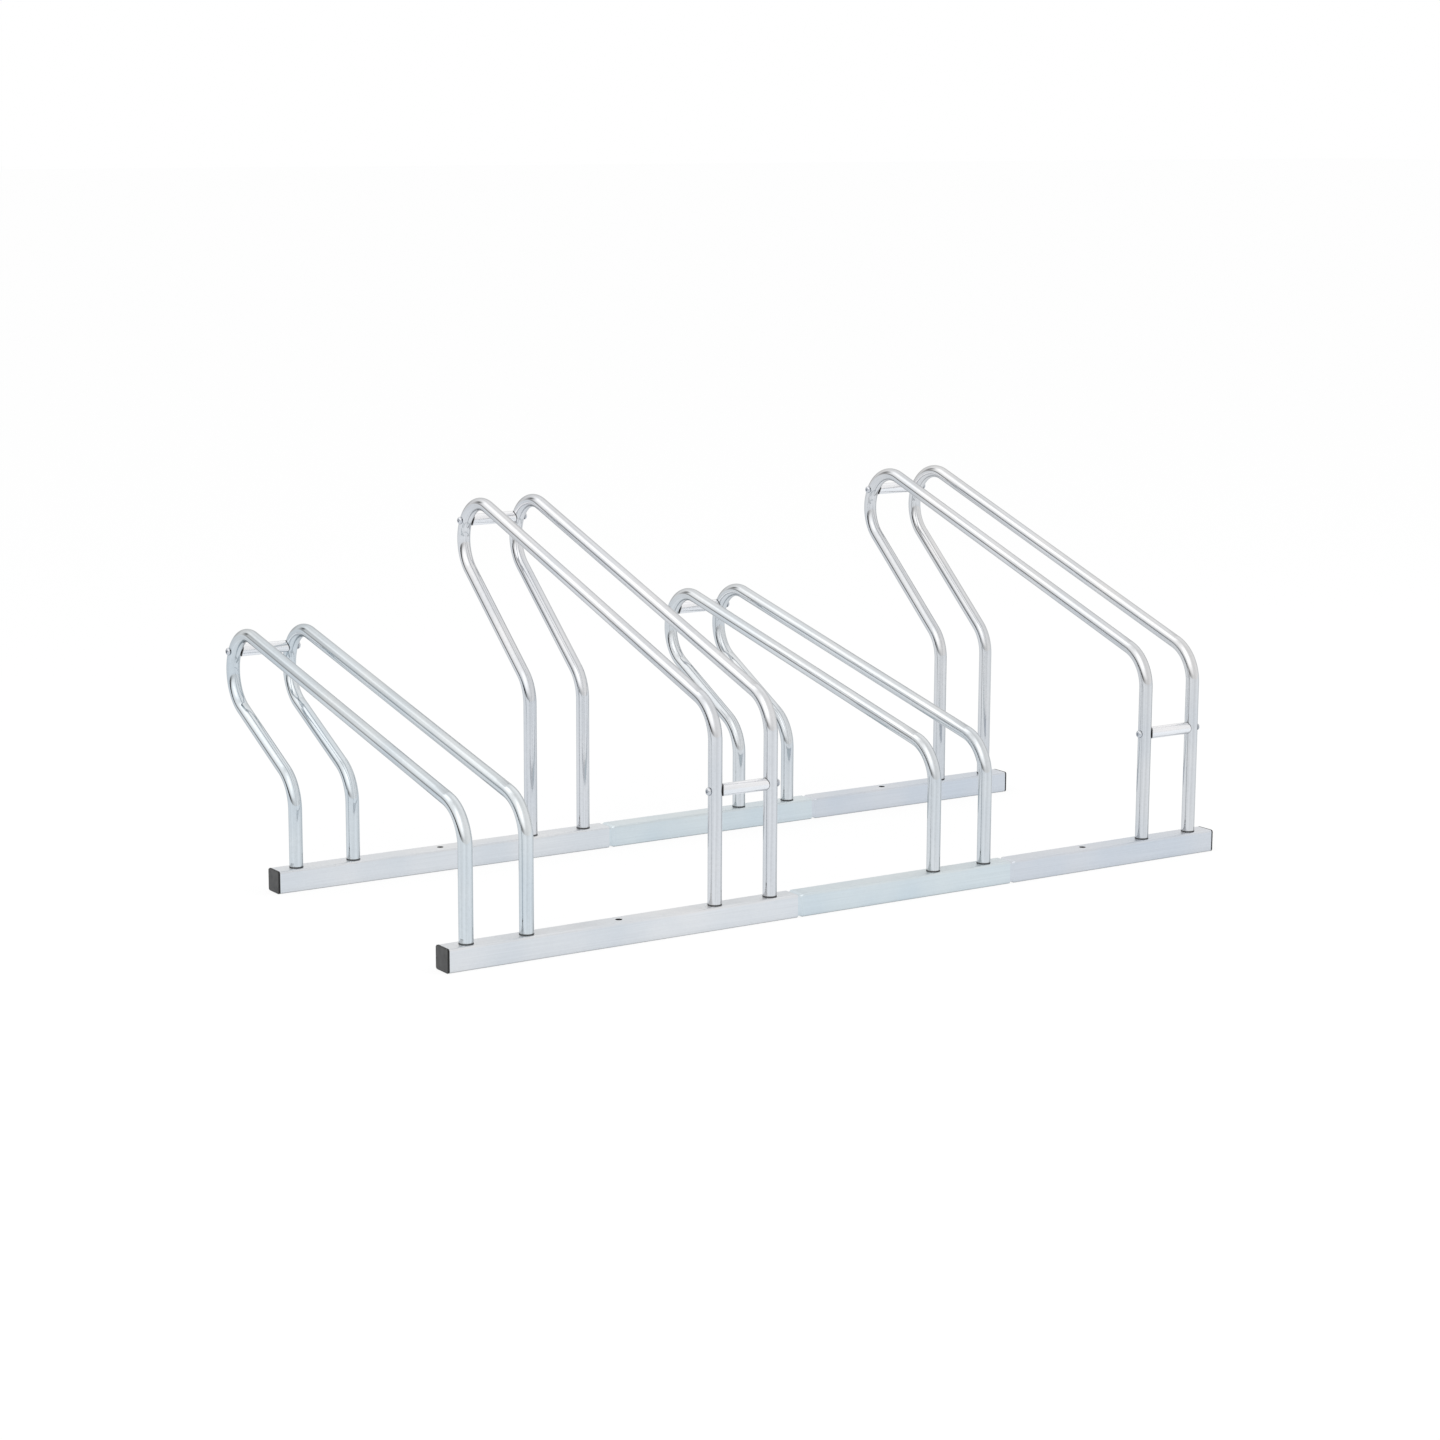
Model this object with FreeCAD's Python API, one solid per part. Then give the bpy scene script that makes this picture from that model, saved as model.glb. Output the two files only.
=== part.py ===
"""Floor rack for four bikes, in millimetres.

Two square-tube rails lie on the floor, each plugged together from three sections. Four pairs of
bent round tubes stand in them, alternately low and tall, and a wheel goes between the two tubes
of a pair. X runs along the rails, Y from the front rail to the rear rail and Z up. The origin is
on the floor, under the middle of the whole rack.
"""

import FreeCAD
import Part
import math
import os

V = FreeCAD.Vector
ALONG = V(1, 0, 0)
UP = V(0, 0, 1)

# Rails: square tube, front and rear alike.
RAIL_SIZE = 30.0
RAIL_WALL = 1.5
RAIL_CORNER = 3.0
RAIL_SPACING = 460.0          # between the two rails' middles

# Rail sections, each size along X.
BASE_PITCH = 353.5            # between the two places of the base section
MIDDLE_LEAD = 258.0           # shoulder of the middle section to its place
END_LEAD = 272.5              # shoulder of the end section to its place

# Necks: the drawn-in end of a section that plugs into the open end of the one before it.
NECK_SHOWN = 8.0              # gap between the open end and the shoulder, where the neck shows
NECK_DEPTH = 21.0             # length of neck inside the open end
NECK_TO_LEG = 3.1             # tip of the neck to the nearest leg hole
NECK_SLOPE = 3.0              # length of the sloping shoulder
NECK_LEAD_IN = 2.0            # length and depth of the tapered tip
NECK_CLEARANCE = 0.2
NECK_CORNER_EASE = 0.5        # how much rounder the neck's corners are than the bore's

# Floor anchor holes, one in the base section and one in the end section of each rail.
ANCHOR_HOLE = 7.0
BASE_ANCHOR = 171.5           # first place to the hole of the base section
END_ANCHOR = 145.5            # hole of the end section to the last place

# End caps: plastic plugs with a flange as wide as the rail.
CAP_FLANGE = 3.0
CAP_EDGE = 0.8                # chamfer round the outer face
CAP_DEPTH = 14.0
CAP_TO_LEG = 7.1              # inner end of the plug to the nearest leg hole
CAP_WALL = 2.0
CAP_FIN = 1.2                 # thickness of a fin
CAP_FIN_REACH = 2.0
CAP_FINS = 2
CAP_CLEARANCE = 0.2

# Hoops: bent round tube, the same bends in both heights but for their slopes.
TUBE_D = 18.0
TUBE_WALL = 1.5
BEND_RADIUS = 54.0            # of the tube's centre line, in every bend
SLOT_WIDTH = 65.0             # clear width for the tyre, between the two tubes of a pair
NOSE_REACH = 182.0            # rear rail's middle to the centre line at the tip of the nose
LOW_HEIGHT = 327.0
LOW_TOP_SLOPE = 12.5          # degrees, of the long top run
LOW_REAR_SLOPE = 26.7         # degrees, of the run from the rear leg up to the nose
TALL_HEIGHT = 479.5
TALL_TOP_SLOPE = 18.5         # degrees
TALL_REAR_SLOPE = 40.6        # degrees
LEG_CLEARANCE = 0.4           # around a leg in the rail's top wall

# Spacers: short tubes across a pair, with their ends hollowed to sit on the hoops.
SPACER_D = 16.0
SPACER_WALL = 1.5
SADDLE_EASE = 2.8             # how much wider than the hoop's tube the hollow is, all round
SEAT_GAP = 0.2                # between a hoop and what is bolted against it
NOSE_SPACER_ANGLE = 30.0      # degrees above level, seen from the middle of the nose bend
FRONT_SPACER_HEIGHT = 175.5   # above the floor, tall pairs only

# Bolt of a spacer, and the sleeve nut that takes its end inside the right-hand hoop.
BOLT_D = 6.0
BOLT_CLEARANCE = 0.3          # all round, in the left-hand hoop
BOLT_TO_SEAT = 4.0            # end of the bolt to the seat of the sleeve nut's head
SLEEVE_WALL = 1.0
SLEEVE_CLEARANCE = 0.25       # all round, in the right-hand hoop
SLEEVE_BEYOND = 4.0           # how far the sleeve reaches past the hoop into the spacer
THREAD_CLEARANCE = 0.05

# Button heads of both.
BUTTON_SEAT = 0.9             # width of the ring that bears on the hoop
BUTTON_HEIGHT = 3.3
BUTTON_RIM = 0.6
BUTTON_BULGE = 0.4            # of the dome past a straight slope, along X and outward
SOCKET = 4.0                  # across flats
SOCKET_DEPTH = 1.8
SOCKET_RIM = 0.5              # flat crown left round the socket's corners

# Foot of a leg: threaded insert in the tube, and the screw that holds it from below.
INSERT_LENGTH = 14.0
INSERT_CLEARANCE = 0.05
FOOT_SCREW_D = 6.0
FOOT_SCREW_LENGTH = 14.0
FOOT_HEAD_D = 11.5
FOOT_HEAD_RECESS = 0.4        # of the head, above the floor
FOOT_SOCKET = 4.0
FOOT_SOCKET_DEPTH = 1.6
CONE_CLEARANCE = 0.15

# What follows from the sizes above.
TUBE_R = TUBE_D / 2
LEG_HOLE_R = TUBE_R + LEG_CLEARANCE
SLEEVE_R = BOLT_D / 2 + THREAD_CLEARANCE + SLEEVE_WALL
BUTTON_R = SLEEVE_R + SLEEVE_CLEARANCE + BUTTON_SEAT
CROWN_R = SOCKET / math.sqrt(3) + SOCKET_RIM
HEAD_CONE_HEIGHT = (FOOT_HEAD_D - FOOT_SCREW_D) / 2
BORE = RAIL_SIZE - 2 * RAIL_WALL
BORE_CORNER = RAIL_CORNER - RAIL_WALL
PAIR_HALF = (SLOT_WIDTH + TUBE_D) / 2
END_MARGIN = CAP_FLANGE + CAP_DEPTH + CAP_TO_LEG + LEG_HOLE_R + PAIR_HALF
OPEN_TAIL = NECK_DEPTH + NECK_TO_LEG + LEG_HOLE_R + PAIR_HALF
BASE_LENGTH = END_MARGIN + BASE_PITCH + OPEN_TAIL
MIDDLE_LENGTH = MIDDLE_LEAD + OPEN_TAIL
END_LENGTH = END_LEAD + END_MARGIN
RAIL_LENGTH = BASE_LENGTH + MIDDLE_LENGTH + END_LENGTH + 2 * NECK_SHOWN
LEFT_END = -RAIL_LENGTH / 2
BASE_OPEN_END = LEFT_END + BASE_LENGTH
MIDDLE_SHOULDER = BASE_OPEN_END + NECK_SHOWN
END_SHOULDER = MIDDLE_SHOULDER + MIDDLE_LENGTH + NECK_SHOWN
RIGHT_END = END_SHOULDER + END_LENGTH
DEPTH = RAIL_SIZE / 2 + RAIL_SPACING + NOSE_REACH + TUBE_R
FRONT_Y = (RAIL_SIZE - DEPTH) / 2
REAR_Y = FRONT_Y + RAIL_SPACING
NOSE_Y = REAR_Y + NOSE_REACH - BEND_RADIUS
RAILS = {"front": FRONT_Y, "rear": REAR_Y}
HOOPS = {
    "low": (LOW_HEIGHT, LOW_TOP_SLOPE, LOW_REAR_SLOPE),
    "tall": (TALL_HEIGHT, TALL_TOP_SLOPE, TALL_REAR_SLOPE),
}
PLACES = (
    ("low", LEFT_END + END_MARGIN),
    ("tall", LEFT_END + END_MARGIN + BASE_PITCH),
    ("low", MIDDLE_SHOULDER + MIDDLE_LEAD),
    ("tall", RIGHT_END - END_MARGIN),
)
ANCHORS = (PLACES[0][1] + BASE_ANCHOR, PLACES[3][1] - END_ANCHOR)


def rod(radius, start, axis, length):
    """Solid cylinder from a start point along an axis."""
    return Part.makeCylinder(radius, length, start, axis)


def hexagon_prism(across_flats, start, axis, length):
    """Six-sided prism from a start point along an axis."""
    frame = FreeCAD.Placement(start, FreeCAD.Rotation(UP, axis))
    reach = across_flats / math.sqrt(3)
    corners = []
    for corner in range(7):
        angle = math.radians(60 * corner)
        corners.append(frame.multVec(V(reach * math.cos(angle), reach * math.sin(angle), 0)))
    return Part.Face(Part.makePolygon(corners)).extrude(axis * length)


def rounded_square(x, y, size, radius):
    """Closed outline across the rail at x: a square with round corners on the rail's axis."""
    half = size / 2
    core = half - radius
    middle = core + radius * math.sqrt(0.5)
    centre = V(x, y, RAIL_SIZE / 2)
    edges = []
    for quarter in range(4):
        turn = FreeCAD.Rotation(ALONG, 90 * quarter)
        side_start = centre + turn.multVec(V(0, half, -core))
        side_end = centre + turn.multVec(V(0, half, core))
        arc_middle = centre + turn.multVec(V(0, middle, middle))
        arc_end = centre + turn.multVec(V(0, core, half))
        edges.append(Part.makeLine(side_start, side_end))
        edges.append(Part.Arc(side_end, arc_middle, arc_end).toShape())
    return Part.Wire(edges)


def square_prism(x, y, size, radius, length):
    """Solid bar with round corners, lying in the rail from x along X."""
    return Part.Face(rounded_square(x, y, size, radius)).extrude(ALONG * length)


def square_loft(y, stations):
    """Solid through rounded squares, each station an (x, size, radius)."""
    outlines = [rounded_square(x, y, size, radius) for x, size, radius in stations]
    return Part.makeLoft(outlines, True, True)


def bent_path(corners, radius):
    """Straight runs through the corners, with an arc of one radius in place of each inner corner."""
    edges = []
    last = corners[0]
    for before, corner, after in zip(corners, corners[1:], corners[2:]):
        come = (corner - before).normalize()
        leave = (after - corner).normalize()
        half_turn = come.getAngle(leave) / 2
        set_back = radius * math.tan(half_turn)
        arc_start = corner - come * set_back
        arc_end = corner + leave * set_back
        inward = (leave - come).normalize()
        arc_middle = corner + inward * (radius / math.cos(half_turn) - radius)
        edges.append(Part.makeLine(last, arc_start))
        edges.append(Part.Arc(arc_start, arc_middle, arc_end).toShape())
        last = arc_end
    edges.append(Part.makeLine(last, corners[-1]))
    return Part.Wire(edges)


def rod_along(path, start, radius):
    """Solid round rod swept along a path that sets off upward from its start."""
    ring = Part.Wire(Part.makeCircle(radius, start, UP))
    return path.makePipeShell([ring], True, False)


def nose_centre(kind, x):
    """Middle of the nose bend, in the hoop's own plane."""
    height = HOOPS[kind][0]
    return V(x, NOSE_Y, height - TUBE_R - BEND_RADIUS)


def hoop_corners(kind, x):
    """Corners of a hoop's centre line: front foot, front knee, nose, rear knee, rear foot.

    The top run and the rear run both touch the nose bend, so their lines meet in a corner
    beyond the nose.
    """
    centre = nose_centre(kind, x)
    top, rear = [math.radians(slope) for slope in HOOPS[kind][1:]]
    top_touch = centre + V(0, -math.sin(top), math.cos(top)) * BEND_RADIUS
    rear_touch = centre + V(0, math.sin(rear), -math.cos(rear)) * BEND_RADIUS
    rise = top_touch.z - rear_touch.z + (rear_touch.y - top_touch.y) * math.tan(top)
    beyond = rise / (math.tan(rear) - math.tan(top))
    nose = rear_touch + V(0, beyond, beyond * math.tan(rear))
    front_knee_z = top_touch.z - (top_touch.y - FRONT_Y) * math.tan(top)
    rear_knee_z = rear_touch.z - (rear_touch.y - REAR_Y) * math.tan(rear)
    front_foot = V(x, FRONT_Y, RAIL_WALL)
    rear_foot = V(x, REAR_Y, RAIL_WALL)
    return [front_foot, V(x, FRONT_Y, front_knee_z), nose, V(x, REAR_Y, rear_knee_z), rear_foot]


def spacer_points(kind, x):
    """Where spacers cross the plane of a hoop at x, each with the tube's direction there."""
    angle = math.radians(NOSE_SPACER_ANGLE)
    outward = V(0, math.cos(angle), math.sin(angle))
    tangent = V(0, -math.sin(angle), math.cos(angle))
    points = {"nose": (nose_centre(kind, x) + outward * BEND_RADIUS, tangent)}
    if kind == "tall":
        points["front"] = (V(x, FRONT_Y, FRONT_SPACER_HEIGHT), UP)
    return points


def hoop(kind, x, hole_r):
    """One bent tube, open at both feet, drilled across for its spacer fasteners."""
    corners = hoop_corners(kind, x)
    path = bent_path(corners, BEND_RADIUS)
    tube = rod_along(path, corners[0], TUBE_R).cut(rod_along(path, corners[0], TUBE_R - TUBE_WALL))
    for point, _ in spacer_points(kind, x).values():
        tube = tube.cut(rod(hole_r, point - ALONG * TUBE_D, ALONG, 2 * TUBE_D))
    return tube


def spacer(point, tangent, left_x, right_x):
    """Cross tube between two hoops, each end hollowed by a drum that lies along the hoop's tube."""
    start = V(left_x, point.y, point.z)
    length = right_x - left_x
    tube = rod(SPACER_D / 2, start, ALONG, length)
    tube = tube.cut(rod(SPACER_D / 2 - SPACER_WALL, start, ALONG, length))
    drum_r = TUBE_R + SEAT_GAP + SADDLE_EASE
    for x in (left_x - SADDLE_EASE, right_x + SADDLE_EASE):
        drum_start = V(x, point.y, point.z) - tangent * SPACER_D
        tube = tube.cut(rod(drum_r, drum_start, tangent, 2 * SPACER_D))
    return tube


def button_head(point, seat_x, outward):
    """Low domed head on its seat, crown outward along X, with a hex socket in the crown."""
    def spot(height, radius):
        return V(seat_x + outward * height, point.y, point.z + radius)

    bulge = spot((BUTTON_HEIGHT + BUTTON_RIM) / 2 + BUTTON_BULGE, (BUTTON_R + CROWN_R) / 2 + BUTTON_BULGE)
    dome = Part.Arc(spot(BUTTON_RIM, BUTTON_R), bulge, spot(BUTTON_HEIGHT, CROWN_R)).toShape()
    seat = Part.makePolygon([spot(0, 0), spot(0, BUTTON_R), spot(BUTTON_RIM, BUTTON_R)])
    crown = Part.makePolygon([spot(BUTTON_HEIGHT, CROWN_R), spot(BUTTON_HEIGHT, 0), spot(0, 0)])
    section = Part.Face(Part.Wire(seat.Edges + [dome] + crown.Edges))
    head = section.revolve(point, ALONG, 360)
    return head.cut(hexagon_prism(SOCKET, spot(BUTTON_HEIGHT, 0), ALONG * -outward, SOCKET_DEPTH))


def spacer_bolt(point, left_x, right_x):
    """Bolt from the left through the left hoop and the spacer into the sleeve nut."""
    seat_x = left_x - TUBE_R - SEAT_GAP
    end_x = right_x + TUBE_R + SEAT_GAP - BOLT_TO_SEAT
    shank = rod(BOLT_D / 2, V(seat_x, point.y, point.z), ALONG, end_x - seat_x)
    return button_head(point, seat_x, -1).fuse(shank).removeSplitter()


def sleeve_nut(point, right_x):
    """Sleeve with a domed head, from the right through the right hoop into the spacer."""
    seat_x = right_x + TUBE_R + SEAT_GAP
    tip = V(right_x - TUBE_R - SLEEVE_BEYOND, point.y, point.z)
    length = seat_x - tip.x
    sleeve = rod(SLEEVE_R, tip, ALONG, length)
    nut = button_head(point, seat_x, 1).fuse(sleeve)
    return nut.cut(rod(BOLT_D / 2 + THREAD_CLEARANCE, tip, ALONG, length)).removeSplitter()


def head_cone(foot, clearance):
    """Cone of a countersunk head under a leg's foot, widened by a clearance."""
    rim = FOOT_HEAD_D / 2 + clearance
    neck = FOOT_SCREW_D / 2 + clearance
    return Part.makeCone(rim, neck, HEAD_CONE_HEIGHT, V(foot.x, foot.y, FOOT_HEAD_RECESS), UP)


def leg_insert(foot):
    """Threaded plug in the open end of a leg, countersunk below for the screw's head."""
    body = rod(TUBE_R - TUBE_WALL - INSERT_CLEARANCE, foot, UP, INSERT_LENGTH)
    body = body.cut(rod(FOOT_SCREW_D / 2 + THREAD_CLEARANCE, foot, UP, INSERT_LENGTH))
    return body.cut(head_cone(foot, CONE_CLEARANCE))


def foot_screw(foot):
    """Countersunk screw that pulls the leg down on the rail's bottom wall."""
    base = V(foot.x, foot.y, FOOT_HEAD_RECESS)
    screw = head_cone(foot, 0).fuse(rod(FOOT_SCREW_D / 2, base, UP, FOOT_SCREW_LENGTH))
    return screw.cut(hexagon_prism(FOOT_SOCKET, base, UP, FOOT_SOCKET_DEPTH)).removeSplitter()


def leg_xs(place_x):
    """X of the left and the right hoop of the pair at a place."""
    return place_x - PAIR_HALF, place_x + PAIR_HALF


def drilled(rail, y, places, anchors):
    """Rail section with its leg holes, screw seats and anchor holes."""
    for place_x in places:
        for x in leg_xs(place_x):
            foot = V(x, y, RAIL_WALL)
            recess = rod(FOOT_HEAD_D / 2 + CONE_CLEARANCE, V(x, y, 0), UP, FOOT_HEAD_RECESS)
            rail = rail.cut(rod(LEG_HOLE_R, foot, UP, RAIL_SIZE))
            rail = rail.cut(head_cone(foot, CONE_CLEARANCE)).cut(recess)
    for x in anchors:
        rail = rail.cut(rod(ANCHOR_HOLE / 2, V(x, y, 0), UP, RAIL_SIZE))
    return rail


def plain_tube(x, y, length):
    """Square tube with both ends open."""
    outside = square_prism(x, y, RAIL_SIZE, RAIL_CORNER, length)
    return outside.cut(square_prism(x, y, BORE, BORE_CORNER, length))


def necked_tube(shoulder_x, y, length):
    """Square tube whose left end is drawn in to a neck that fits the bore of the next tube."""
    neck = BORE - 2 * NECK_CLEARANCE
    neck_corner = BORE_CORNER + NECK_CORNER_EASE
    tip_x = shoulder_x - NECK_SHOWN - NECK_DEPTH
    outside = [
        (tip_x, neck - NECK_LEAD_IN, neck_corner),
        (tip_x + NECK_LEAD_IN, neck, neck_corner),
        (shoulder_x - NECK_SLOPE, neck, neck_corner),
        (shoulder_x, RAIL_SIZE, RAIL_CORNER),
        (shoulder_x + length, RAIL_SIZE, RAIL_CORNER),
    ]
    inside = [(x, size - 2 * RAIL_WALL, radius - BORE_CORNER) for x, size, radius in outside[:3]]
    inside += [(x, BORE, BORE_CORNER) for x, _, _ in outside[3:]]
    return square_loft(y, outside).cut(square_loft(y, inside))


def end_cap(end_x, y, inward):
    """Plug for a rail's open end: a flange with a soft edge, and a hollow core with fins."""
    seat_x = end_x + inward * CAP_FLANGE
    cap = square_prism(min(end_x, seat_x), y, RAIL_SIZE, RAIL_CORNER, CAP_FLANGE)
    outer_edges = [edge for edge in cap.Edges if abs(edge.CenterOfMass.x - end_x) < CAP_FLANGE / 4]
    cap = cap.makeChamfer(CAP_EDGE, outer_edges)
    core_x = min(seat_x, seat_x + inward * CAP_DEPTH)
    fin_size = BORE - 2 * CAP_CLEARANCE
    fin_corner = BORE_CORNER + CAP_CLEARANCE
    core_size = fin_size - 2 * CAP_FIN_REACH
    cap = cap.fuse(square_prism(core_x, y, core_size, fin_corner, CAP_DEPTH))
    for fin in range(1, CAP_FINS + 1):
        middle = seat_x + inward * CAP_DEPTH * fin / (CAP_FINS + 1)
        cap = cap.fuse(square_prism(middle - CAP_FIN / 2, y, fin_size, fin_corner, CAP_FIN))
    cap = cap.cut(square_prism(core_x, y, core_size - 2 * CAP_WALL, fin_corner / 2, CAP_DEPTH))
    return cap.removeSplitter()


def rail_nodes():
    """The three sections and two caps of each rail."""
    place_xs = [x for _, x in PLACES]
    nodes = {}
    for side, y in RAILS.items():
        start = LEFT_END + CAP_FLANGE
        base = plain_tube(start, y, BASE_OPEN_END - start)
        middle = necked_tube(MIDDLE_SHOULDER, y, MIDDLE_LENGTH)
        end = necked_tube(END_SHOULDER, y, END_LENGTH - CAP_FLANGE)
        nodes[f"{side}_rail_base"] = drilled(base, y, place_xs[:2], ANCHORS[:1])
        nodes[f"{side}_rail_middle"] = drilled(middle, y, place_xs[2:3], ())
        nodes[f"{side}_rail_end"] = drilled(end, y, place_xs[3:], ANCHORS[1:])
        nodes[f"{side}_rail_left_cap"] = end_cap(LEFT_END, y, 1)
        nodes[f"{side}_rail_right_cap"] = end_cap(RIGHT_END, y, -1)
    return nodes


def pair_nodes():
    """Hoops and spacers of every pair, with the fasteners gathered by kind."""
    nodes = {}
    fasteners = {"spacer_bolts": [], "sleeve_nuts": [], "leg_inserts": [], "foot_screws": []}
    for number, (kind, place_x) in enumerate(PLACES, start=1):
        left_x, right_x = leg_xs(place_x)
        nodes[f"{kind}_hoop_{number}_left"] = hoop(kind, left_x, BOLT_D / 2 + BOLT_CLEARANCE)
        nodes[f"{kind}_hoop_{number}_right"] = hoop(kind, right_x, SLEEVE_R + SLEEVE_CLEARANCE)
        for where, (point, tangent) in spacer_points(kind, left_x).items():
            nodes[f"{where}_spacer_{number}"] = spacer(point, tangent, left_x, right_x)
            fasteners["spacer_bolts"].append(spacer_bolt(point, left_x, right_x))
            fasteners["sleeve_nuts"].append(sleeve_nut(point, right_x))
        for x in (left_x, right_x):
            for y in RAILS.values():
                foot = V(x, y, RAIL_WALL)
                fasteners["leg_inserts"].append(leg_insert(foot))
                fasteners["foot_screws"].append(foot_screw(foot))
    for name, solids in fasteners.items():
        nodes[name] = Part.Compound(solids)
    return nodes


def main():
    os.makedirs("parts", exist_ok=True)
    for name, shape in {**rail_nodes(), **pair_nodes()}.items():
        shape.exportStep(f"parts/{name}.step")
        print(name, len(shape.Solids), shape.isValid(), round(shape.Volume))


main()
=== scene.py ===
"""Looks of a floor bike rack in bright zinc-plated steel, in metres, in the frame of its model."""

import math

import bpy
import numpy as np
from mathutils import Matrix, Vector


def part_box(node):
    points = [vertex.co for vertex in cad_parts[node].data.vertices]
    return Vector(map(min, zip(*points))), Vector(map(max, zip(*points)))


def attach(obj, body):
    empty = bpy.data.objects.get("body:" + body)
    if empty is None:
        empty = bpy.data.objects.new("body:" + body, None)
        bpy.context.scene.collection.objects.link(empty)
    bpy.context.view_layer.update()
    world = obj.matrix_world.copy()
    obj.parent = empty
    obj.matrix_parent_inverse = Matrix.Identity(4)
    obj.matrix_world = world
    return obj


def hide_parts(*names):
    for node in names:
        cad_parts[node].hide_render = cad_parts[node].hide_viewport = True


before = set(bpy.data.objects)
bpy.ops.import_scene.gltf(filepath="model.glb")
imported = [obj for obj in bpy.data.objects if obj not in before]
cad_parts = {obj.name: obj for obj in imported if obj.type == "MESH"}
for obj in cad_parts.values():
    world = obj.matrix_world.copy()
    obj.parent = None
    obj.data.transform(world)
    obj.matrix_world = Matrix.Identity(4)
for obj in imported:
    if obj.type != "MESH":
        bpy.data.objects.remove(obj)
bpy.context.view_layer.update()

MM = 0.001

# Sizes of the rack's own pieces, as in its drawing. The slopes, of a hoop's top run and then of its
# rear run, and the lean of the nose's spacer are in degrees.
TUBE_R = 9.0 * MM
TUBE_WALL = 1.5 * MM
BEND_RADIUS = 54.0 * MM
SLOPES = {"low": (12.5, 26.7), "tall": (18.5, 40.6)}
SPACER_R = 8.0 * MM
SPACER_WALL = 1.5 * MM
SADDLE_R = 12.0 * MM
NOSE_SPACER_LEAN = 30.0

# The four anchor holes: the middle and half the spacing along the rails, then across them, and how
# far from its middle the painted shade, dark and dull, of each one reaches.
ANCHORS = (13.0 * MM, 366.5 * MM, -88.0 * MM, 230.0 * MM)
ANCHOR_SHADE_REACH = 4.4 * MM

# How finely the round pieces are divided, and the angle from which an edge stays sharp.
ROUND = 64
BEND_STEP = math.radians(2.5)
RUN_STEP = 25.0 * MM
SPACER_RINGS = 12
SHARP_EDGE = math.radians(40.0)

# The zinc: a cool and a warm tint for each pair of hoops, each section of rail and each small piece.
HOOP_TINTS = {
    1: ((0.63, 0.68, 0.715), (0.70, 0.73, 0.745)),
    2: ((0.665, 0.68, 0.705), (0.735, 0.735, 0.745)),
    3: ((0.635, 0.665, 0.69), (0.71, 0.725, 0.735)),
    4: ((0.65, 0.665, 0.685), (0.72, 0.715, 0.715)),
}
RAIL_TINTS = {
    "base": ((0.70, 0.725, 0.755), (0.775, 0.78, 0.79)),
    "middle": ((0.635, 0.705, 0.745), (0.705, 0.755, 0.77)),
    "end": ((0.62, 0.66, 0.715), (0.685, 0.70, 0.73)),
}
SPACER_TINTS = ((0.83, 0.84, 0.86), (0.90, 0.89, 0.90))
FASTENER_TINTS = ((0.58, 0.60, 0.63), (0.66, 0.67, 0.70))

# Its sheen: roughness, how much of the light it still mirrors where it is seen almost edge on, and
# the darkest of its drawn lines.
HOOP_SHEEN = (0.06, 0.70, 0.86)
SPACER_SHEEN = (0.20, 0.80, 0.92)
RAIL_SHEEN = (0.34, 0.93, 0.94)
FASTENER_SHEEN = (0.24, 0.80, 0.92)

# Painted shade, as how much of the zinc's colour and metal is kept, from 0 to 1: a tube at a
# distance from the piece that it meets, a rail at a height above the floor, and the edge of an anchor
# hole.
TUBE_JOINT_SHADE = ((1.0 * MM, 0.12), (2.0 * MM, 1.0))
RAIL_FLOOR_SHADE = ((0.6 * MM, 0.50), (2.0 * MM, 0.93), (9.0 * MM, 1.0))
ANCHOR_SHADE = 0.03

# Patterns, in repeats to the metre: drawn lines across, across and along a tube, and along, across
# and across a rail, the clouds and the mottle of the zinc, the grain and the bloom of the plastic.
TUBE_LINES = (420.0, 420.0, 5.0)
RAIL_LINES = (7.0, 700.0, 700.0)
CLOUDS = 9.0
MOTTLE = 260.0
GRAIN = 2200.0
BLOOM = 90.0

# Greys of the caps: their sides, and the darkest and the lightest of their rubbed end faces.
CAP_SIDES = 0.006
CAP_ENDS = (0.045, 0.076)

# Where the photograph was taken from.
CAMERA_PLACE = Vector((-2.3577, -3.5995, 1.0206))
CAMERA_HEADING = math.radians(33.25)
CAMERA_PITCH = math.radians(10.91)
CAMERA_ROLL = math.radians(0.267)
CAMERA_LENS = 80.7
CAMERA_SENSOR = 36.0

# The surround: its level in reflections and for diffuse light, and its soft patches. Each has a
# heading from +Y towards +X and a height, how wide and how tall it is, in degrees, and a strength.
STUDIO_LEVEL = 0.99
DIFFUSE_LEVEL = 1.0
STUDIO_PATCHES = (
    (-120.0, 44.0, 38.0, 29.0, 0.75),
    (-38.0, 50.0, 22.0, 22.0, 0.75),
    (45.0, 52.0, 45.0, 22.0, 0.16),
    (-72.0, 4.0, 60.0, 7.5, -1.05),
    (-27.0, 22.0, 6.5, 14.0, -0.95),
    (-22.0, 4.0, 12.0, 8.0, 0.55),
)

# The lamps, by name: place, width and power. Both point at the rack's middle.
LAMPS = {
    "lamp_left": ((-2.6, -1.6, 2.6), 2.2, 40.0),
    "lamp_right": ((2.4, -2.0, 2.2), 1.8, 22.0),
}
LAMP_AIM = (0.0, 0.0, 0.2)

# The floor: how far it reaches and how far it lies below the rails, how white it is and how much
# of it is lifted to white, and its colour in reflections.
FLOOR_REACH = 40.0
FLOOR_DROP = 0.4 * MM
FLOOR_WHITE = 0.92
FLOOR_LIFT = 0.88
FLOOR_MIRRORED = (0.95, 0.99, 1.03)

# The rack: its pairs from the left, the two hoops of a pair, and the two rails.
PAIRS = (("low", 1), ("tall", 2), ("low", 3), ("tall", 4))
SIDES = ("left", "right")
RAILS = ("front", "rear")
REAR_RAIL_Y = sum(corner.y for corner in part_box("rear_rail_base")) / 2
RAIL_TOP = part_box("front_rail_base")[1].z


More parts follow.
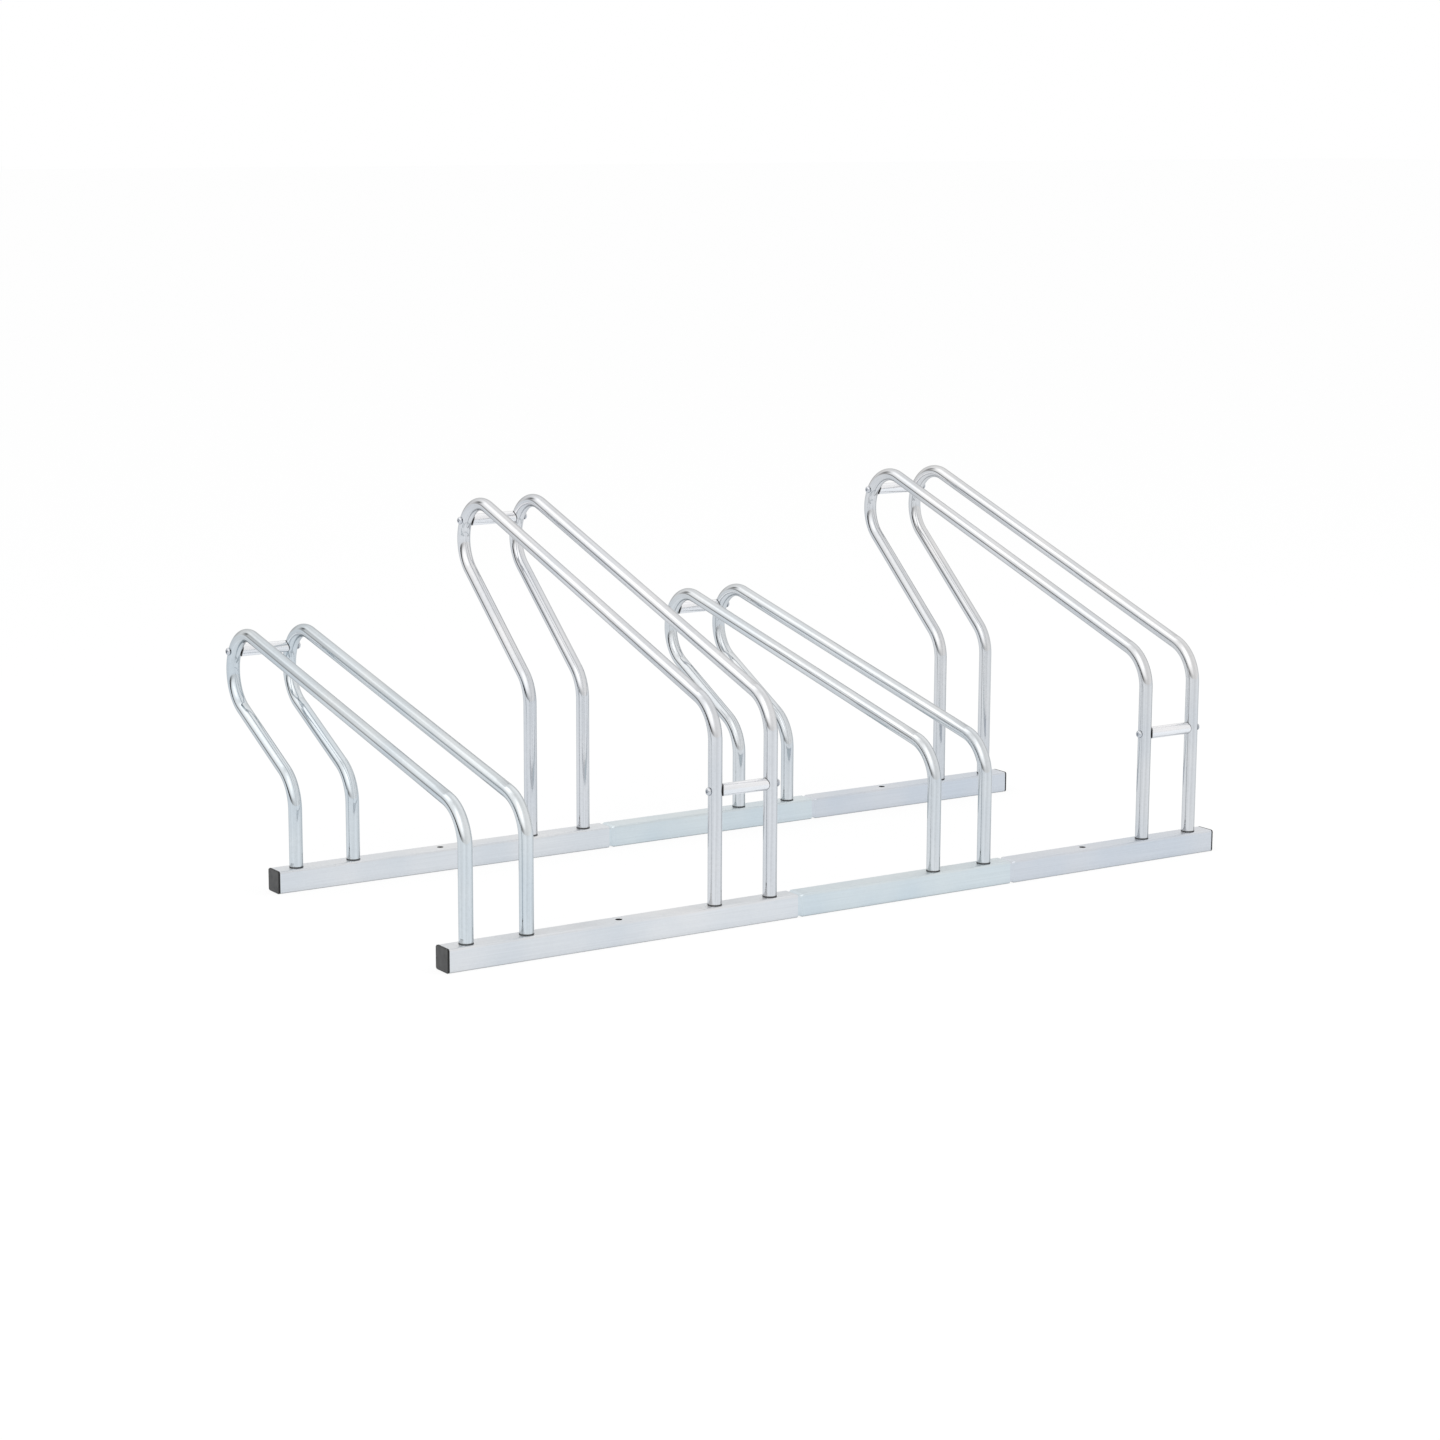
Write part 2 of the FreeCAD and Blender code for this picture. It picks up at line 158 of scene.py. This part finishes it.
# ---------------------------------------------------------------- surfaces

def grid_faces(rows, columns):
    """Quads of a grid whose columns close on themselves: corner (i, j) to (i + 1, j + 1).

    They face away from the line where the columns run right-handed about its direction.
    """
    i, j = np.meshgrid(np.arange(rows - 1), np.arange(columns), indexing="ij")
    here, there = i * columns, (i + 1) * columns
    turn = (j + 1) % columns
    return np.stack([here + j, here + turn, there + turn, there + j], -1).reshape(-1, 4)


def hollow_shell(outer, inner):
    """Vertices and quads of a tube with a wall: outer grid, inner grid turned inward, two end rings."""
    rows, columns = outer.shape[:2]
    points = np.concatenate([outer.reshape(-1, 3), inner.reshape(-1, 3)])
    offset = rows * columns
    skin = grid_faces(rows, columns)
    bore = skin[:, ::-1] + offset
    j = np.arange(columns)
    turn = (j + 1) % columns
    first = np.stack([j, j + offset, turn + offset, turn], -1)
    top = (rows - 1) * columns
    last = np.stack([top + j, top + turn, top + turn + offset, top + j + offset], -1)
    return points, np.concatenate([skin, bore, first, last])


def piece(name, points, quads, finish, along, clear):
    """Mesh object at the origin, smooth on its skin, with the two attributes that its finish follows.

    They are the place along and round its line, and how far it is clear of the piece it meets.
    """
    mesh = bpy.data.meshes.new(name)
    mesh.vertices.add(len(points))
    mesh.vertices.foreach_set("co", points.astype(np.float32).ravel())
    mesh.loops.add(quads.size)
    mesh.loops.foreach_set("vertex_index", quads.astype(np.int32).ravel())
    mesh.polygons.add(len(quads))
    mesh.polygons.foreach_set("loop_start", (np.arange(len(quads)) * 4).astype(np.int32))
    mesh.update(calc_edges=True)
    mesh.validate()
    line = mesh.attributes.new("along", "FLOAT_VECTOR", "POINT")
    line.data.foreach_set("vector", along.astype(np.float32).ravel())
    gap = mesh.attributes.new("clear", "FLOAT", "POINT")
    gap.data.foreach_set("value", clear.astype(np.float32).ravel())
    mesh.shade_smooth()
    mesh.set_sharp_from_angle(angle=SHARP_EDGE)
    mesh.materials.append(finish)
    thing = bpy.data.objects.new(name, mesh)
    bpy.context.scene.collection.objects.link(thing)
    return thing


def bent_line(corners):
    """Rings' centres, directions and lengths run, along straight runs joined by arcs of one radius.

    On a run the centre is start + t * direction. On an arc the direction turns evenly, and the
    centre is the arc's middle less the radius times the normal, which turns with it.
    """
    centres, directions = [], []
    last = corners[0]
    for before, corner, after in zip(corners, corners[1:], corners[2:]):
        come = (corner - before) / np.linalg.norm(corner - before)
        leave = (after - corner) / np.linalg.norm(after - corner)
        turn = math.acos(float(np.clip(come @ leave, -1, 1)))
        sign = math.copysign(1.0, come[0] * leave[1] - come[1] * leave[0])
        start = corner - come * BEND_RADIUS * math.tan(turn / 2)
        run = np.linalg.norm(start - last)
        t = np.linspace(0, 1, max(2, math.ceil(run / RUN_STEP) + 1))[:-1, None]
        centres.append(last + (start - last) * t)
        directions.append(np.repeat(come[None], len(t), 0))
        normal = sign * np.array([-come[1], come[0]])
        middle = start + normal * BEND_RADIUS
        a = np.linspace(0, turn, math.ceil(turn / BEND_STEP) + 1)[:, None]
        centres.append(middle - BEND_RADIUS * (normal * np.cos(a) - come * np.sin(a)))
        directions.append(come * np.cos(a) + normal * np.sin(a))
        last = centres[-1][-1]
    run = np.linalg.norm(corners[-1] - last)
    t = np.linspace(0, 1, max(2, math.ceil(run / RUN_STEP) + 1))[1:, None]
    centres.append(last + (corners[-1] - last) * t)
    directions.append(np.repeat(leave[None], len(t), 0))
    centres, directions = np.concatenate(centres), np.concatenate(directions)
    steps = np.linalg.norm(np.diff(centres, axis=0), axis=1)
    return centres, directions, np.concatenate([[0.0], np.cumsum(steps)])


def hoop_corners(kind, low, high):
    """Corners of a hoop's centre line as (y, z), from its node's box, the rear rail and its slopes.

    The nose's bend is a circle that both runs touch, and its corner is where the runs would meet.
    """
    top, rear = [math.radians(slope) for slope in SLOPES[kind]]
    front_y, rear_y = low.y + TUBE_R, REAR_RAIL_Y
    nose = np.array([high.y - TUBE_R - BEND_RADIUS, high.z - TUBE_R - BEND_RADIUS])
    top_touch = nose + BEND_RADIUS * np.array([-math.sin(top), math.cos(top)])
    rear_touch = nose + BEND_RADIUS * np.array([math.sin(rear), -math.cos(rear)])
    rise = top_touch[1] - rear_touch[1] + (rear_touch[0] - top_touch[0]) * math.tan(top)
    beyond = rise / (math.tan(rear) - math.tan(top))
    corner = rear_touch + np.array([beyond, beyond * math.tan(rear)])
    front_knee = np.array([front_y, top_touch[1] - (top_touch[0] - front_y) * math.tan(top)])
    rear_knee = np.array([rear_y, rear_touch[1] - (rear_touch[0] - rear_y) * math.tan(rear)])
    return [np.array([front_y, low.z]), front_knee, corner, rear_knee, np.array([rear_y, low.z])]


def hoop_tube(name, kind, finish):
    """Bent tube: ring centre plus radius times (cos a across the pair + sin a normal to the line)."""
    low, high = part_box(name)
    x = (low.x + high.x) / 2
    centres, directions, run = bent_line(hoop_corners(kind, low, high))
    a = np.arange(ROUND) * 2 * math.pi / ROUND
    across = np.array([1.0, 0.0, 0.0])
    normal = np.stack([np.zeros(len(run)), directions[:, 1], -directions[:, 0]], -1)
    middle = np.stack([np.full(len(run), x), centres[:, 0], centres[:, 1]], -1)
    spoke = np.cos(a)[None, :, None] * across + np.sin(a)[None, :, None] * normal[:, None, :]
    outer = middle[:, None, :] + TUBE_R * spoke
    inner = middle[:, None, :] + (TUBE_R - TUBE_WALL) * spoke
    points, quads = hollow_shell(outer, inner)
    grain = np.broadcast_to(np.stack([np.cos(a), np.sin(a)], -1) * TUBE_R, (len(run), ROUND, 2))
    length = np.broadcast_to(run[:, None, None], (len(run), ROUND, 1))
    skin = np.concatenate([grain, length], -1).reshape(-1, 3)
    # Its height above the rails' top sets the painted shade round each leg's foot.
    along, clear = np.concatenate([skin, skin]), points[:, 2] - RAIL_TOP
    tube = piece(name + "_tube", points, quads, finish, along, clear)
    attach(tube, "root")
    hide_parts(name)


def spacer_tube(name, lean, finish):
    """Cross tube: each end lies on a drum, so x there is the root of R2 - w2 from the drum's middle.

    w is how far a point of the tube is to the side of the drum's own line, which leans as the
    hoop does at that place. The painted shade at its ends is half as deep at the right end as at the left.
    """
    low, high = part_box(name)
    y, z = (low.y + high.y) / 2, (low.z + high.z) / 2
    reach = math.sqrt(SADDLE_R ** 2 - SPACER_R ** 2)
    left_drum, right_drum = low.x - reach, high.x + reach
    a = np.arange(ROUND) * 2 * math.pi / ROUND
    t = np.linspace(0, 1, SPACER_RINGS)[:, None]

    def skin(radius):
        w = radius * np.cos(a)
        depth = np.sqrt(SADDLE_R ** 2 - w ** 2)
        x = (left_drum + depth) * (1 - t) + (right_drum - depth) * t
        side = y + radius * np.cos(a + lean) + 0 * t
        rise = z + radius * np.sin(a + lean) + 0 * t
        return np.stack([x, side, rise], -1)

    points, quads = hollow_shell(skin(SPACER_R), skin(SPACER_R - SPACER_WALL))
    along = np.stack([points[:, 1] - y, points[:, 2] - z, points[:, 0]], -1)
    # Distance from the nearer end, counted double towards the right, so the painted shade at the right end
    # is half as deep.
    end = (high.x - low.x) * np.minimum(t, 2 * (1 - t)) + 0 * a
    tube = piece(name + "_tube", points, quads, finish, along, np.concatenate([end, end]))
    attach(tube, "root")
    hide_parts(name)


# ---------------------------------------------------------------- finishes

class Value:
    """A socket of a finish, on which sums, products and differences are written as plain maths."""

    def __init__(self, finish, socket):
        self.finish, self.socket = finish, socket

    def __add__(self, other):
        return self.finish.maths("ADD", self, other)

    def __mul__(self, other):
        return self.finish.maths("MULTIPLY", self, other)

    def __sub__(self, other):
        return self.finish.maths("SUBTRACT", self, other)

    def __rsub__(self, other):
        return self.finish.maths("SUBTRACT", other, self)

    __radd__ = __add__
    __rmul__ = __mul__


class Made:
    """A node just made, whose outputs are taken by name or by number."""

    def __init__(self, finish, bare_node):
        self.finish, self.bare_node = finish, bare_node

    def out(self, name):
        return Value(self.finish, self.bare_node.outputs[name])


class Finish:
    """A material or the world, with one method that makes any node."""

    def __init__(self, owner):
        owner.use_nodes = True
        self.tree = owner.node_tree
        self.tree.nodes.clear()

    def node(self, kind, settings=None, inputs=None):
        """A node of a kind: its settings first, then the values or links of its sockets."""
        made = self.tree.nodes.new(kind)
        for name, value in (settings or {}).items():
            if name == "stops":
                ramp = made.color_ramp
                while len(ramp.elements) < len(value):
                    ramp.elements.new(0.5)
                for element, (place, colour) in zip(ramp.elements, value):
                    element.position, element.color = place, colour
            else:
                setattr(made, name, value)
        for name, value in (inputs or {}).items():
            if isinstance(value, Value):
                self.tree.links.new(value.socket, made.inputs[name])
            else:
                made.inputs[name].default_value = value
        return Made(self, made)

    def maths(self, operation, *numbers):
        return self.node("ShaderNodeMath", {"operation": operation}, dict(enumerate(numbers))).out("Value")

    def noise(self, place, scale, detail, roughness=0.5):
        return self.node("ShaderNodeTexNoise", {}, {
            "Vector": place, "Scale": scale, "Detail": detail, "Roughness": roughness}).out("Fac")

    def stretched(self, place, scale):
        return self.node("ShaderNodeMapping", {}, {"Vector": place, "Scale": scale}).out("Vector")

    def ramp(self, amount, stops):
        return self.node("ShaderNodeValToRGB", {"stops": stops}, {"Fac": amount}).out("Color")

    def mix(self, amount, first, second, blend="MIX"):
        settings = {"data_type": "RGBA", "blend_type": blend}
        return self.node("ShaderNodeMix", settings, {0: amount, 6: first, 7: second}).out(2)


def rgba(colour):
    return (*colour, 1.0)


def grey(level):
    return (level, level, level, 1.0)


def shade_by_distance(f, distance, stops):
    """Painted shade at a distance, as how much of the zinc is kept: straight from stop to stop, and level
    past the last.
    """
    span = stops[-1][0]
    return f.ramp(distance * (1 / span), [(far / span, grey(level)) for far, level in stops])


def tube_lines_and_shade(f):
    """Drawn lines that follow the bends, and painted shade: dark where the tube meets a piece."""
    line = f.node("ShaderNodeAttribute", {"attribute_name": "along"}).out("Vector")
    drawn_lines = f.noise(f.stretched(line, TUBE_LINES), 1.0, 2.0)
    # How far the tube is clear of the piece it meets sets the painted shade there.
    clear = f.node("ShaderNodeAttribute", {"attribute_name": "clear"}).out("Fac")
    return drawn_lines, shade_by_distance(f, clear, TUBE_JOINT_SHADE)


def rail_lines_and_shade(f):
    """Drawn lines along the rails, and painted shade: dark at the floor and in the anchor holes."""
    place = f.node("ShaderNodeTexCoord").out("Object")
    drawn_lines = f.noise(f.stretched(place, RAIL_LINES), 1.0, 3.0)
    spot = f.node("ShaderNodeSeparateXYZ", {}, {"Vector": place})
    middle_x, half_x, middle_y, half_y = ANCHORS
    east = f.maths("ABSOLUTE", spot.out("X") - middle_x) - half_x
    north = f.maths("ABSOLUTE", spot.out("Y") - middle_y) - half_y
    # Painted shade in and round each anchor hole.
    in_hole_shade = f.maths("LESS_THAN", east * east + north * north, ANCHOR_SHADE_REACH ** 2)
    # Painted shade along the rail's bottom edge, darkest at the floor.
    floor_shade = shade_by_distance(f, spot.out("Z"), RAIL_FLOOR_SHADE)
    return drawn_lines, f.mix(in_hole_shade, floor_shade, grey(ANCHOR_SHADE))


def zinc(name, cool, warm, rough, edge, streak, lines_and_shade):
    """Bright zinc: two close tints in soft clouds, a fine mottle, and faint drawn lines lengthwise.

    Edge is how much of the light it still mirrors where it is seen almost edge on, and streak is
    the darkest of the drawn lines. Where painted shade falls it is dark and dull instead of metal.
    """
    material = bpy.data.materials.new(name)
    f = Finish(material)
    drawn_lines, painted_shade = lines_and_shade(f)
    place = f.node("ShaderNodeTexCoord").out("Object")
    clouds = f.noise(place, CLOUDS, 2.0)
    mottle = f.noise(place, MOTTLE, 4.0, 0.6)
    tint = f.ramp(clouds, ((0.34, rgba(cool)), (0.66, rgba(warm))))
    lines = f.ramp(mottle * 0.3 + drawn_lines * 0.7, ((0.36, grey(streak)), (0.60, grey(1.0))))
    # Painted shade darkens the colour here and, in the shader below, takes away the metal.
    colour = f.mix(1.0, f.mix(1.0, tint, lines, "MULTIPLY"), painted_shade, "MULTIPLY")
    roughness = rough - 0.04 + mottle * 0.03 + drawn_lines * 0.05
    height = drawn_lines * 0.6 + mottle * 0.4
    bump = f.node("ShaderNodeBump", {}, {
        "Strength": 0.04, "Distance": 0.00008, "Height": height}).out("Normal")
    shader = f.node("ShaderNodeBsdfPrincipled", {}, {
        "Base Color": colour, "Metallic": painted_shade, "Roughness": roughness, "Normal": bump,
        "Specular IOR Level": 0.0, "Specular Tint": grey(edge)}).out("BSDF")
    f.node("ShaderNodeOutputMaterial", {}, {"Surface": shader})
    return material


def moulded_plastic(name):
    """Black plastic with the fine grain of a mould, greyed and rubbed on the faces at the rail's end."""
    material = bpy.data.materials.new(name)
    f = Finish(material)
    where = f.node("ShaderNodeTexCoord")
    place = where.out("Object")
    grain = f.noise(place, GRAIN, 3.0, 0.6)
    bloom = f.noise(place, BLOOM, 3.0)
    darkest, lightest = CAP_ENDS
    rubbed = f.ramp(bloom * 0.7 + grain * 0.3, ((0.35, grey(darkest)), (0.70, grey(lightest))))
    facing = f.node("ShaderNodeSeparateXYZ", {}, {"Vector": where.out("Normal")})
    endways = f.maths("ABSOLUTE", facing.out("X"))
    colour = f.mix(endways, grey(CAP_SIDES), rubbed)
    bump = f.node("ShaderNodeBump", {}, {
        "Strength": 0.25, "Distance": 0.0001, "Height": grain}).out("Normal")
    shader = f.node("ShaderNodeBsdfPrincipled", {}, {
        "Base Color": colour, "Roughness": 0.5 + grain * 0.15, "Normal": bump,
        "Specular IOR Level": 0.3}).out("BSDF")
    f.node("ShaderNodeOutputMaterial", {}, {"Surface": shader})
    return material


def dress(names, finish):
    """Gives CAD nodes that keep their own shape a finish."""
    for name in names:
        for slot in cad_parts[name].material_slots:
            slot.material = finish


# ---------------------------------------------------------------- the rack

for kind, number in PAIRS:
    hoop_finish = zinc(f"zinc_hoop_{number}", *HOOP_TINTS[number], *HOOP_SHEEN, tube_lines_and_shade)
    for side in SIDES:
        hoop_tube(f"{kind}_hoop_{number}_{side}", kind, hoop_finish)

spacer_finish = zinc("zinc_spacer", *SPACER_TINTS, *SPACER_SHEEN, tube_lines_and_shade)
for kind, number in PAIRS:
    spacer_tube(f"nose_spacer_{number}", math.radians(NOSE_SPACER_LEAN), spacer_finish)
    if kind == "tall":
        spacer_tube(f"front_spacer_{number}", 0.0, spacer_finish)

for section, tints in RAIL_TINTS.items():
    rail_finish = zinc(f"zinc_rail_{section}", *tints, *RAIL_SHEEN, rail_lines_and_shade)
    dress([f"{rail}_rail_{section}" for rail in RAILS], rail_finish)

fastener_finish = zinc("zinc_fastener", *FASTENER_TINTS, *FASTENER_SHEEN, rail_lines_and_shade)
dress(["spacer_bolts", "sleeve_nuts", "leg_inserts", "foot_screws"], fastener_finish)

caps = [f"{rail}_rail_{end}_cap" for rail in RAILS for end in SIDES]
dress(caps, moulded_plastic("cap_plastic"))


# ---------------------------------------------------------------- floor, light and camera

def pale_floor():
    """Wide white floor that keeps the shadow: its own diffuse white, mostly lifted to white where seen."""
    mesh = bpy.data.meshes.new("floor")
    quarters = ((-1, -1), (1, -1), (1, 1), (-1, 1))
    corners = [(x * FLOOR_REACH, y * FLOOR_REACH, -FLOOR_DROP) for x, y in quarters]
    mesh.from_pydata(corners, [], [(0, 1, 2, 3)])
    floor = bpy.data.objects.new("floor", mesh)
    bpy.context.scene.collection.objects.link(floor)
    material = bpy.data.materials.new("floor_white")
    f = Finish(material)
    path = f.node("ShaderNodeLightPath")
    seen = path.out("Is Camera Ray") + path.out("Is Glossy Ray")
    diffuse = f.node("ShaderNodeBsdfDiffuse", {}, {"Color": grey(FLOOR_WHITE)}).out("BSDF")
    shown = f.mix(path.out("Is Glossy Ray"), grey(1.0), rgba(FLOOR_MIRRORED))
    glow = f.node("ShaderNodeEmission", {}, {"Color": shown, "Strength": 1.0}).out("Emission")
    both = f.node("ShaderNodeMixShader", {}, {0: seen * FLOOR_LIFT, 1: diffuse, 2: glow}).out("Shader")
    f.node("ShaderNodeOutputMaterial", {}, {"Surface": both})
    mesh.materials.append(material)


def studio():
    """White to the eye and even for diffuse light. In reflections it holds soft boxes and dark screens.

    Each is a patch of the surround: its strength times e to the power of -(u2 + v2), where u and v
    are how far the ray's heading and height are from the patch's middle, over its width and height.
    """
    world = bpy.data.worlds.new("studio")
    bpy.context.scene.world = world
    f = Finish(world)
    path = f.node("ShaderNodeLightPath")
    ray = f.node("ShaderNodeTexCoord").out("Generated")
    parts = f.node("ShaderNodeSeparateXYZ", {}, {"Vector": ray})
    heading = f.maths("ARCTAN2", parts.out("X"), parts.out("Y"))
    height = f.maths("ARCSINE", parts.out("Z"))
    mirrored = STUDIO_LEVEL
    for *patch, strength in STUDIO_PATCHES:
        east, high, wide, tall = [math.radians(angle) for angle in patch]
        u = f.maths("WRAP", heading - east, math.pi, -math.pi) * (1 / wide)
        v = (height - high) * (1 / tall)
        mirrored = f.maths("EXPONENT", (u * u + v * v) * -1.0) * strength + mirrored
    unseen = f.mix(path.out("Is Glossy Ray"), grey(DIFFUSE_LEVEL), f.maths("MAXIMUM", mirrored, 0.0))
    shown = f.mix(path.out("Is Camera Ray"), unseen, grey(1.0))
    surround = f.node("ShaderNodeBackground", {}, {"Color": shown, "Strength": 1.0}).out("Background")
    f.node("ShaderNodeOutputWorld", {}, {"Surface": surround})


def soft_lamp(name, place, width, power):
    """Round lamp that points at the rack's middle and doesn't show in reflections."""
    light = bpy.data.lights.new(name, "AREA")
    light.shape, light.size, light.energy = "DISK", width, power
    lamp = bpy.data.objects.new(name, light)
    bpy.context.scene.collection.objects.link(lamp)
    lamp.location = place
    lamp.rotation_euler = (Vector(LAMP_AIM) - Vector(place)).to_track_quat("-Z", "Y").to_euler()
    lamp.visible_glossy = False


def photographers_camera():
    """Looks along its heading from +Y towards +X, tipped down, with a slight roll."""
    ahead = Vector((
        math.sin(CAMERA_HEADING) * math.cos(CAMERA_PITCH),
        math.cos(CAMERA_HEADING) * math.cos(CAMERA_PITCH),
        -math.sin(CAMERA_PITCH),
    ))
    level = Vector((math.cos(CAMERA_HEADING), -math.sin(CAMERA_HEADING), 0.0))
    upright = level.cross(ahead)
    right = math.cos(CAMERA_ROLL) * level + math.sin(CAMERA_ROLL) * upright
    up = -math.sin(CAMERA_ROLL) * level + math.cos(CAMERA_ROLL) * upright
    data = bpy.data.cameras.new("camera")
    data.lens, data.sensor_width = CAMERA_LENS, CAMERA_SENSOR
    camera = bpy.data.objects.new("camera", data)
    bpy.context.scene.collection.objects.link(camera)
    turn = Matrix((right, up, -ahead)).transposed()
    camera.matrix_world = Matrix.Translation(CAMERA_PLACE) @ turn.to_4x4()
    bpy.context.scene.camera = camera


pale_floor()
studio()
for name, lamp in LAMPS.items():
    soft_lamp(name, *lamp)
photographers_camera()
bpy.context.scene.view_settings.view_transform = "Standard"
